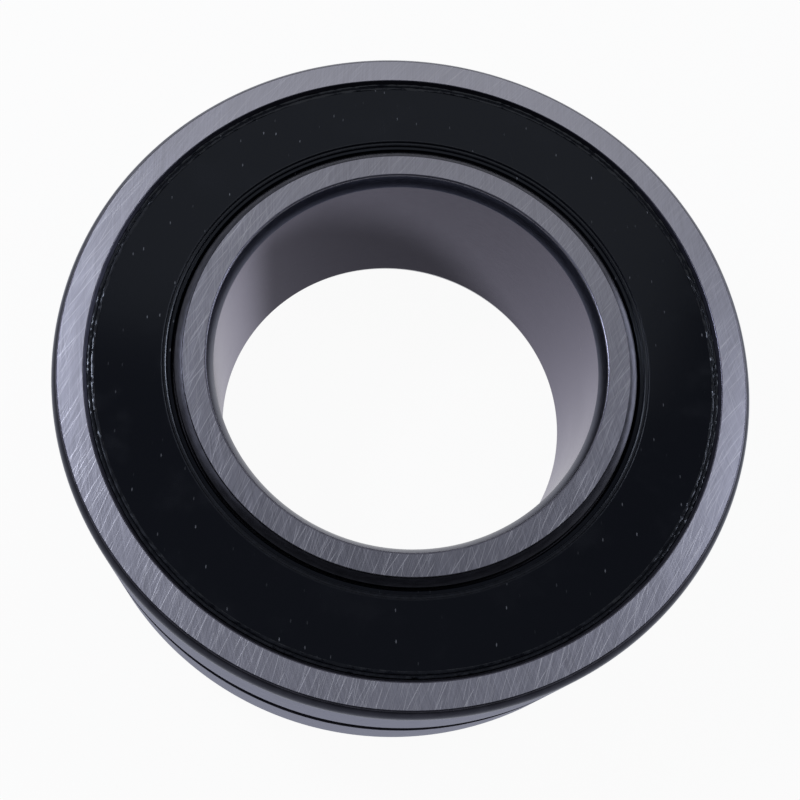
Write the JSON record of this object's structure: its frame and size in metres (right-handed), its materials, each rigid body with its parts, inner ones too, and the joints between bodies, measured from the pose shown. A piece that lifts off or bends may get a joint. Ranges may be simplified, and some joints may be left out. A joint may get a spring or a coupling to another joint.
{
  "type": "spherical roller bearing",
  "caption": "Sealed double-row spherical roller bearing: self-aligning, straight bore, grooved outer ring, rubber seal on each face.",
  "frame": {"origin": "centre of the bearing, on the axis at the middle of the width", "axes": "+Z along the axis, towards the front seal; the swivel axis is X; one lubrication hole points along +Y"},
  "size_m": [0.18, 0.18, 0.0604],
  "materials": {
    "ground_steel": "ground bearing steel",
    "roller_steel": "superfinished bearing steel",
    "ring_steel": "turned steel",
    "cage_steel": "pressed sheet steel, phosphated",
    "seal_rubber": "moulded nitrile rubber, glossy face",
    "insert_steel": "sheet steel"
  },
  "bodies": {
    "outer_ring": {"outer_ring": "ground_steel", "seal_front": "seal_rubber", "seal_rear": "seal_rubber", "seal_front_insert": "insert_steel", "seal_rear_insert": "insert_steel"},
    "guide_ring": {"guide_ring": "ring_steel"},
    "inner_ring": {"inner_ring": "ground_steel"},
    "cage_front": {"cage_front": "cage_steel"},
    "cage_rear": {"cage_rear": "cage_steel"},
    "roller_front_01": {"roller_front_01": "roller_steel"},
    "roller_front_02": {"roller_front_02": "roller_steel"},
    "roller_front_03": {"roller_front_03": "roller_steel"},
    "roller_front_04": {"roller_front_04": "roller_steel"},
    "roller_front_05": {"roller_front_05": "roller_steel"},
    "roller_front_06": {"roller_front_06": "roller_steel"},
    "roller_front_07": {"roller_front_07": "roller_steel"},
    "roller_front_08": {"roller_front_08": "roller_steel"},
    "roller_front_09": {"roller_front_09": "roller_steel"},
    "roller_front_10": {"roller_front_10": "roller_steel"},
    "roller_front_11": {"roller_front_11": "roller_steel"},
    "roller_front_12": {"roller_front_12": "roller_steel"},
    "roller_front_13": {"roller_front_13": "roller_steel"},
    "roller_front_14": {"roller_front_14": "roller_steel"},
    "roller_front_15": {"roller_front_15": "roller_steel"},
    "roller_front_16": {"roller_front_16": "roller_steel"},
    "roller_front_17": {"roller_front_17": "roller_steel"},
    "roller_front_18": {"roller_front_18": "roller_steel"},
    "roller_rear_01": {"roller_rear_01": "roller_steel"},
    "roller_rear_02": {"roller_rear_02": "roller_steel"},
    "roller_rear_03": {"roller_rear_03": "roller_steel"},
    "roller_rear_04": {"roller_rear_04": "roller_steel"},
    "roller_rear_05": {"roller_rear_05": "roller_steel"},
    "roller_rear_06": {"roller_rear_06": "roller_steel"},
    "roller_rear_07": {"roller_rear_07": "roller_steel"},
    "roller_rear_08": {"roller_rear_08": "roller_steel"},
    "roller_rear_09": {"roller_rear_09": "roller_steel"},
    "roller_rear_10": {"roller_rear_10": "roller_steel"},
    "roller_rear_11": {"roller_rear_11": "roller_steel"},
    "roller_rear_12": {"roller_rear_12": "roller_steel"},
    "roller_rear_13": {"roller_rear_13": "roller_steel"},
    "roller_rear_14": {"roller_rear_14": "roller_steel"},
    "roller_rear_15": {"roller_rear_15": "roller_steel"},
    "roller_rear_16": {"roller_rear_16": "roller_steel"},
    "roller_rear_17": {"roller_rear_17": "roller_steel"},
    "roller_rear_18": {"roller_rear_18": "roller_steel"}
  },
  "joints": [
    {"name": "swivel", "type": "hinge", "parent": "outer_ring", "child": "guide_ring", "pos_m": [0, 0, 0], "axis": [1, 0, 0], "range_deg": [-0.5, 0.5]},
    {"name": "inner_ring_spin", "type": "hinge", "parent": "guide_ring", "child": "inner_ring", "pos_m": [0, 0, 0], "axis": [0, 0, 1], "continuous": true},
    {"name": "cage_front_spin", "type": "hinge", "parent": "guide_ring", "child": "cage_front", "pos_m": [0, 0, 0], "axis": [0, 0, 1], "continuous": true},
    {"name": "cage_rear_spin", "type": "hinge", "parent": "guide_ring", "child": "cage_rear", "pos_m": [0, 0, 0], "axis": [0, 0, 1], "continuous": true},
    {"name": "roller_front_01_spin", "type": "hinge", "parent": "cage_front", "child": "roller_front_01", "pos_m": [0.07021, 0, 0.01309], "axis": [-0.1833, 0, 0.9831], "continuous": true},
    {"name": "roller_front_02_spin", "type": "hinge", "parent": "cage_front", "child": "roller_front_02", "pos_m": [0.06598, 0.02401, 0.01309], "axis": [-0.1723, -0.0627, 0.9831], "continuous": true},
    {"name": "roller_front_03_spin", "type": "hinge", "parent": "cage_front", "child": "roller_front_03", "pos_m": [0.05378, 0.04513, 0.01309], "axis": [-0.1404, -0.1178, 0.9831], "continuous": true},
    {"name": "roller_front_04_spin", "type": "hinge", "parent": "cage_front", "child": "roller_front_04", "pos_m": [0.0351, 0.0608, 0.01309], "axis": [-0.0917, -0.1588, 0.9831], "continuous": true},
    {"name": "roller_front_05_spin", "type": "hinge", "parent": "cage_front", "child": "roller_front_05", "pos_m": [0.01219, 0.06914, 0.01309], "axis": [-0.0318, -0.1805, 0.9831], "continuous": true},
    {"name": "roller_front_06_spin", "type": "hinge", "parent": "cage_front", "child": "roller_front_06", "pos_m": [-0.01219, 0.06914, 0.01309], "axis": [0.0318, -0.1805, 0.9831], "continuous": true},
    {"name": "roller_front_07_spin", "type": "hinge", "parent": "cage_front", "child": "roller_front_07", "pos_m": [-0.0351, 0.0608, 0.01309], "axis": [0.0917, -0.1588, 0.9831], "continuous": true},
    {"name": "roller_front_08_spin", "type": "hinge", "parent": "cage_front", "child": "roller_front_08", "pos_m": [-0.05378, 0.04513, 0.01309], "axis": [0.1404, -0.1178, 0.9831], "continuous": true},
    {"name": "roller_front_09_spin", "type": "hinge", "parent": "cage_front", "child": "roller_front_09", "pos_m": [-0.06598, 0.02401, 0.01309], "axis": [0.1723, -0.0627, 0.9831], "continuous": true},
    {"name": "roller_front_10_spin", "type": "hinge", "parent": "cage_front", "child": "roller_front_10", "pos_m": [-0.07021, 0, 0.01309], "axis": [0.1833, 0, 0.9831], "continuous": true},
    {"name": "roller_front_11_spin", "type": "hinge", "parent": "cage_front", "child": "roller_front_11", "pos_m": [-0.06598, -0.02401, 0.01309], "axis": [0.1723, 0.0627, 0.9831], "continuous": true},
    {"name": "roller_front_12_spin", "type": "hinge", "parent": "cage_front", "child": "roller_front_12", "pos_m": [-0.05378, -0.04513, 0.01309], "axis": [0.1404, 0.1178, 0.9831], "continuous": true},
    {"name": "roller_front_13_spin", "type": "hinge", "parent": "cage_front", "child": "roller_front_13", "pos_m": [-0.0351, -0.0608, 0.01309], "axis": [0.0917, 0.1588, 0.9831], "continuous": true},
    {"name": "roller_front_14_spin", "type": "hinge", "parent": "cage_front", "child": "roller_front_14", "pos_m": [-0.01219, -0.06914, 0.01309], "axis": [0.0318, 0.1805, 0.9831], "continuous": true},
    {"name": "roller_front_15_spin", "type": "hinge", "parent": "cage_front", "child": "roller_front_15", "pos_m": [0.01219, -0.06914, 0.01309], "axis": [-0.0318, 0.1805, 0.9831], "continuous": true},
    {"name": "roller_front_16_spin", "type": "hinge", "parent": "cage_front", "child": "roller_front_16", "pos_m": [0.0351, -0.0608, 0.01309], "axis": [-0.0917, 0.1588, 0.9831], "continuous": true},
    {"name": "roller_front_17_spin", "type": "hinge", "parent": "cage_front", "child": "roller_front_17", "pos_m": [0.05378, -0.04513, 0.01309], "axis": [-0.1404, 0.1178, 0.9831], "continuous": true},
    {"name": "roller_front_18_spin", "type": "hinge", "parent": "cage_front", "child": "roller_front_18", "pos_m": [0.06598, -0.02401, 0.01309], "axis": [-0.1723, 0.0627, 0.9831], "continuous": true},
    {"name": "roller_rear_01_spin", "type": "hinge", "parent": "cage_rear", "child": "roller_rear_01", "pos_m": [0.06914, 0.01219, -0.01309], "axis": [0.1805, 0.0318, 0.9831], "continuous": true},
    {"name": "roller_rear_02_spin", "type": "hinge", "parent": "cage_rear", "child": "roller_rear_02", "pos_m": [0.0608, 0.0351, -0.01309], "axis": [0.1588, 0.0917, 0.9831], "continuous": true},
    {"name": "roller_rear_03_spin", "type": "hinge", "parent": "cage_rear", "child": "roller_rear_03", "pos_m": [0.04513, 0.05378, -0.01309], "axis": [0.1178, 0.1404, 0.9831], "continuous": true},
    {"name": "roller_rear_04_spin", "type": "hinge", "parent": "cage_rear", "child": "roller_rear_04", "pos_m": [0.02401, 0.06598, -0.01309], "axis": [0.0627, 0.1723, 0.9831], "continuous": true},
    {"name": "roller_rear_05_spin", "type": "hinge", "parent": "cage_rear", "child": "roller_rear_05", "pos_m": [0, 0.07021, -0.01309], "axis": [0, 0.1833, 0.9831], "continuous": true},
    {"name": "roller_rear_06_spin", "type": "hinge", "parent": "cage_rear", "child": "roller_rear_06", "pos_m": [-0.02401, 0.06598, -0.01309], "axis": [-0.0627, 0.1723, 0.9831], "continuous": true},
    {"name": "roller_rear_07_spin", "type": "hinge", "parent": "cage_rear", "child": "roller_rear_07", "pos_m": [-0.04513, 0.05378, -0.01309], "axis": [-0.1178, 0.1404, 0.9831], "continuous": true},
    {"name": "roller_rear_08_spin", "type": "hinge", "parent": "cage_rear", "child": "roller_rear_08", "pos_m": [-0.0608, 0.0351, -0.01309], "axis": [-0.1588, 0.0917, 0.9831], "continuous": true},
    {"name": "roller_rear_09_spin", "type": "hinge", "parent": "cage_rear", "child": "roller_rear_09", "pos_m": [-0.06914, 0.01219, -0.01309], "axis": [-0.1805, 0.0318, 0.9831], "continuous": true},
    {"name": "roller_rear_10_spin", "type": "hinge", "parent": "cage_rear", "child": "roller_rear_10", "pos_m": [-0.06914, -0.01219, -0.01309], "axis": [-0.1805, -0.0318, 0.9831], "continuous": true},
    {"name": "roller_rear_11_spin", "type": "hinge", "parent": "cage_rear", "child": "roller_rear_11", "pos_m": [-0.0608, -0.0351, -0.01309], "axis": [-0.1588, -0.0917, 0.9831], "continuous": true},
    {"name": "roller_rear_12_spin", "type": "hinge", "parent": "cage_rear", "child": "roller_rear_12", "pos_m": [-0.04513, -0.05378, -0.01309], "axis": [-0.1178, -0.1404, 0.9831], "continuous": true},
    {"name": "roller_rear_13_spin", "type": "hinge", "parent": "cage_rear", "child": "roller_rear_13", "pos_m": [-0.02401, -0.06598, -0.01309], "axis": [-0.0627, -0.1723, 0.9831], "continuous": true},
    {"name": "roller_rear_14_spin", "type": "hinge", "parent": "cage_rear", "child": "roller_rear_14", "pos_m": [0, -0.07021, -0.01309], "axis": [0, -0.1833, 0.9831], "continuous": true},
    {"name": "roller_rear_15_spin", "type": "hinge", "parent": "cage_rear", "child": "roller_rear_15", "pos_m": [0.02401, -0.06598, -0.01309], "axis": [0.0627, -0.1723, 0.9831], "continuous": true},
    {"name": "roller_rear_16_spin", "type": "hinge", "parent": "cage_rear", "child": "roller_rear_16", "pos_m": [0.04513, -0.05378, -0.01309], "axis": [0.1178, -0.1404, 0.9831], "continuous": true},
    {"name": "roller_rear_17_spin", "type": "hinge", "parent": "cage_rear", "child": "roller_rear_17", "pos_m": [0.0608, -0.0351, -0.01309], "axis": [0.1588, -0.0917, 0.9831], "continuous": true},
    {"name": "roller_rear_18_spin", "type": "hinge", "parent": "cage_rear", "child": "roller_rear_18", "pos_m": [0.06914, -0.01219, -0.01309], "axis": [0.1805, -0.0318, 0.9831], "continuous": true}
  ],
  "couplings": [
    {"joint": "cage_front_spin", "follows": "inner_ring_spin", "ratio": 0.42649},
    {"joint": "cage_rear_spin", "follows": "inner_ring_spin", "ratio": 0.42649},
    {"joint": "roller_front_01_spin", "follows": "inner_ring_spin", "ratio": -3.2711},
    {"joint": "roller_front_02_spin", "follows": "inner_ring_spin", "ratio": -3.2711},
    {"joint": "roller_front_03_spin", "follows": "inner_ring_spin", "ratio": -3.2711},
    {"joint": "roller_front_04_spin", "follows": "inner_ring_spin", "ratio": -3.2711},
    {"joint": "roller_front_05_spin", "follows": "inner_ring_spin", "ratio": -3.2711},
    {"joint": "roller_front_06_spin", "follows": "inner_ring_spin", "ratio": -3.2711},
    {"joint": "roller_front_07_spin", "follows": "inner_ring_spin", "ratio": -3.2711},
    {"joint": "roller_front_08_spin", "follows": "inner_ring_spin", "ratio": -3.2711},
    {"joint": "roller_front_09_spin", "follows": "inner_ring_spin", "ratio": -3.2711},
    {"joint": "roller_front_10_spin", "follows": "inner_ring_spin", "ratio": -3.2711},
    {"joint": "roller_front_11_spin", "follows": "inner_ring_spin", "ratio": -3.2711},
    {"joint": "roller_front_12_spin", "follows": "inner_ring_spin", "ratio": -3.2711},
    {"joint": "roller_front_13_spin", "follows": "inner_ring_spin", "ratio": -3.2711},
    {"joint": "roller_front_14_spin", "follows": "inner_ring_spin", "ratio": -3.2711},
    {"joint": "roller_front_15_spin", "follows": "inner_ring_spin", "ratio": -3.2711},
    {"joint": "roller_front_16_spin", "follows": "inner_ring_spin", "ratio": -3.2711},
    {"joint": "roller_front_17_spin", "follows": "inner_ring_spin", "ratio": -3.2711},
    {"joint": "roller_front_18_spin", "follows": "inner_ring_spin", "ratio": -3.2711},
    {"joint": "roller_rear_01_spin", "follows": "inner_ring_spin", "ratio": -3.2711},
    {"joint": "roller_rear_02_spin", "follows": "inner_ring_spin", "ratio": -3.2711},
    {"joint": "roller_rear_03_spin", "follows": "inner_ring_spin", "ratio": -3.2711},
    {"joint": "roller_rear_04_spin", "follows": "inner_ring_spin", "ratio": -3.2711},
    {"joint": "roller_rear_05_spin", "follows": "inner_ring_spin", "ratio": -3.2711},
    {"joint": "roller_rear_06_spin", "follows": "inner_ring_spin", "ratio": -3.2711},
    {"joint": "roller_rear_07_spin", "follows": "inner_ring_spin", "ratio": -3.2711},
    {"joint": "roller_rear_08_spin", "follows": "inner_ring_spin", "ratio": -3.2711},
    {"joint": "roller_rear_09_spin", "follows": "inner_ring_spin", "ratio": -3.2711},
    {"joint": "roller_rear_10_spin", "follows": "inner_ring_spin", "ratio": -3.2711},
    {"joint": "roller_rear_11_spin", "follows": "inner_ring_spin", "ratio": -3.2711},
    {"joint": "roller_rear_12_spin", "follows": "inner_ring_spin", "ratio": -3.2711},
    {"joint": "roller_rear_13_spin", "follows": "inner_ring_spin", "ratio": -3.2711},
    {"joint": "roller_rear_14_spin", "follows": "inner_ring_spin", "ratio": -3.2711},
    {"joint": "roller_rear_15_spin", "follows": "inner_ring_spin", "ratio": -3.2711},
    {"joint": "roller_rear_16_spin", "follows": "inner_ring_spin", "ratio": -3.2711},
    {"joint": "roller_rear_17_spin", "follows": "inner_ring_spin", "ratio": -3.2711},
    {"joint": "roller_rear_18_spin", "follows": "inner_ring_spin", "ratio": -3.2711}
  ]
}
